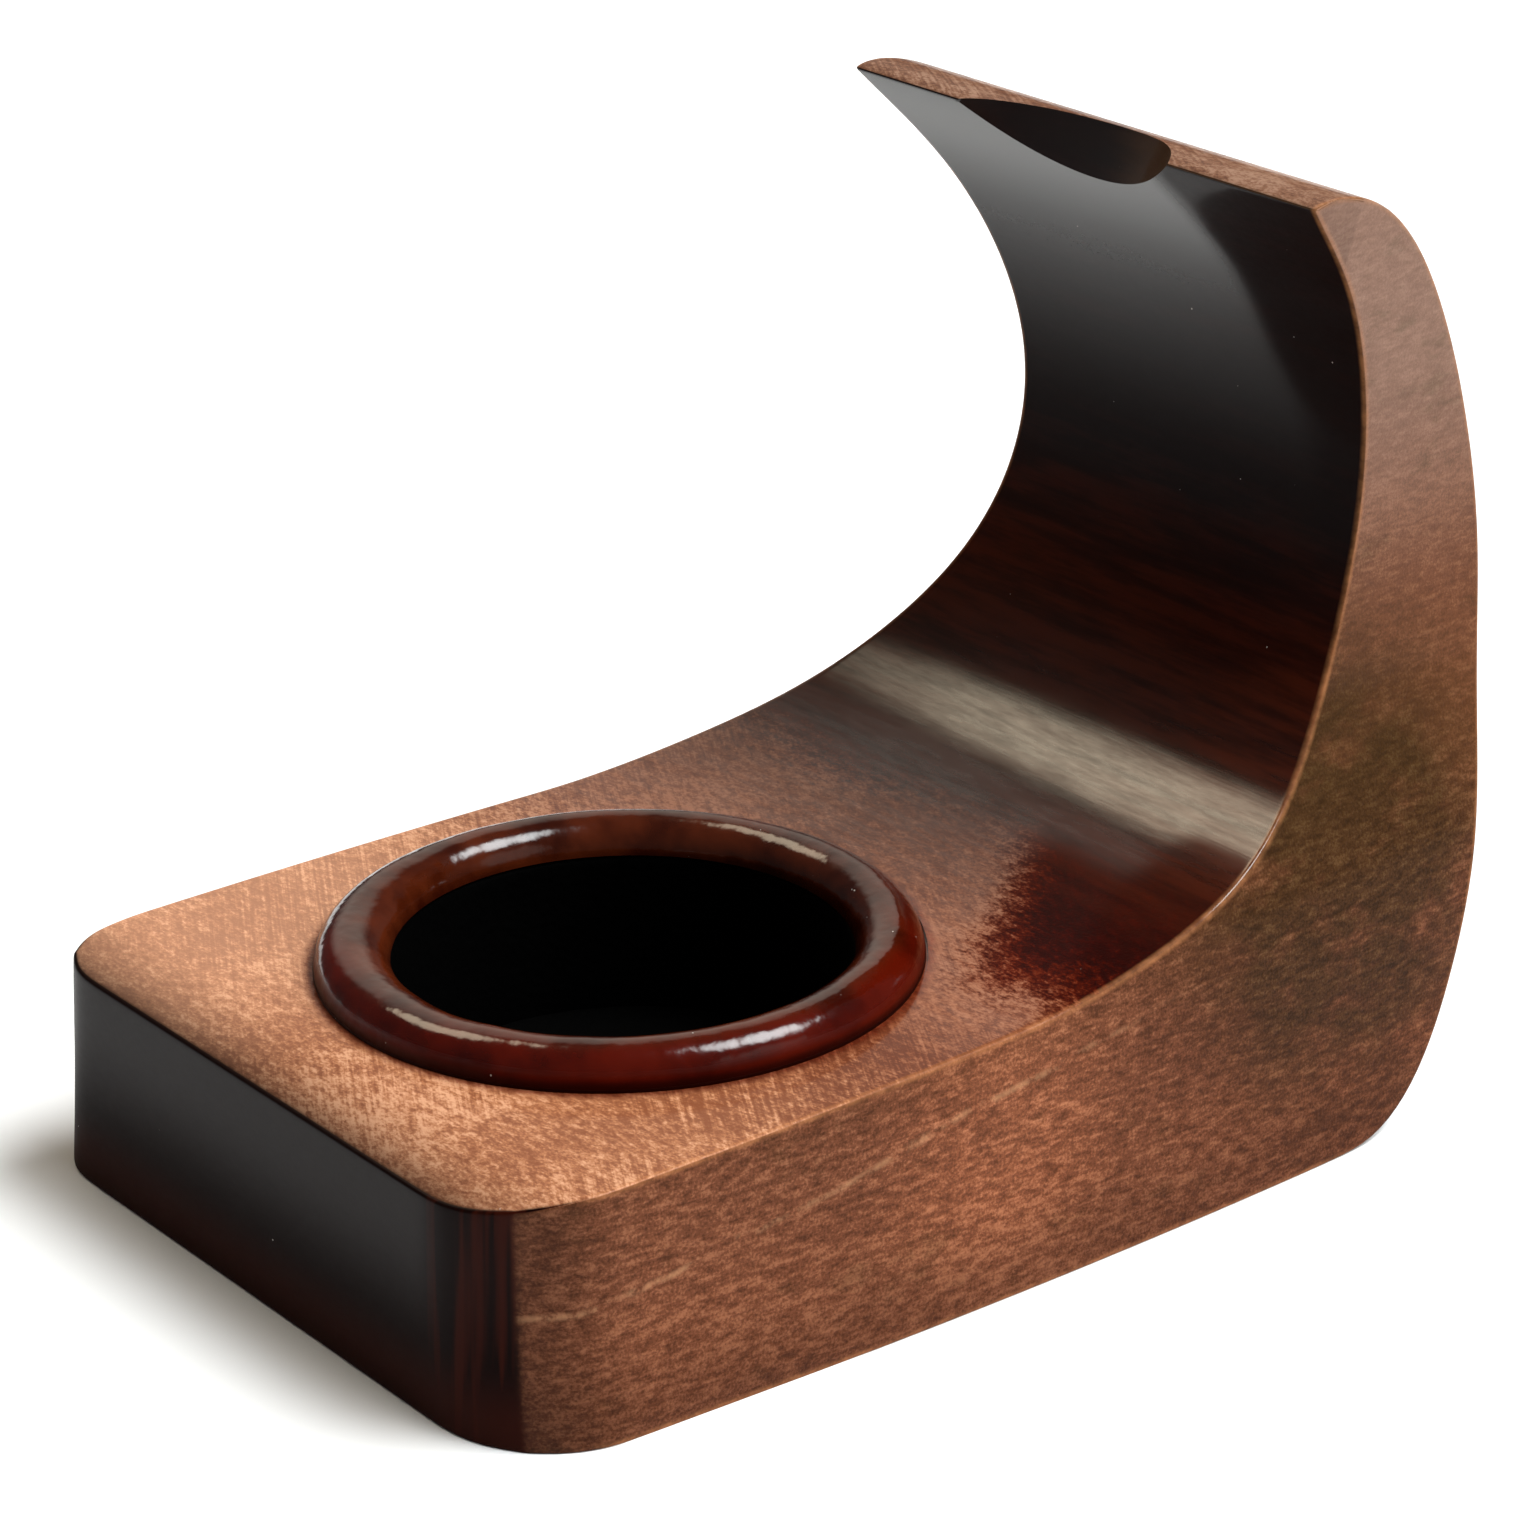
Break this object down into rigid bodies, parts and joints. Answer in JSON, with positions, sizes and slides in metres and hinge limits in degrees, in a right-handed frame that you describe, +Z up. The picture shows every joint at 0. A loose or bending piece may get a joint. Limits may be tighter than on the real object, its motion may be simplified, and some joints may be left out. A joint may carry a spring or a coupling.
{
  "type": "tobacco pipe stand",
  "caption": "Wooden tobacco pipe stand: a low deck with a lined round cup under a glossy rim ring, and an arm that curls up and over to a notched tip.",
  "frame": {"origin": "centre of the bounding box's bottom face, on the surface the stand rests on", "axes": "+Z up, -Y out of the deck's front face, +Y towards the arm, +X across the width"},
  "size_m": [0.06, 0.098, 0.0733],
  "materials": {
    "stained_wood": "stained and lacquered, satin on the deck and sides, polished on the inner curve and front",
    "glossy_ring": "high gloss dark caramel",
    "black_lining": "matte black",
    "black_felt": "matte black felt"
  },
  "bodies": {
    "root": {"wooden_body": "stained_wood", "rim_ring": "glossy_ring", "cup_lining": "black_lining", "cup_pad": "black_felt"}
  },
  "joints": []
}
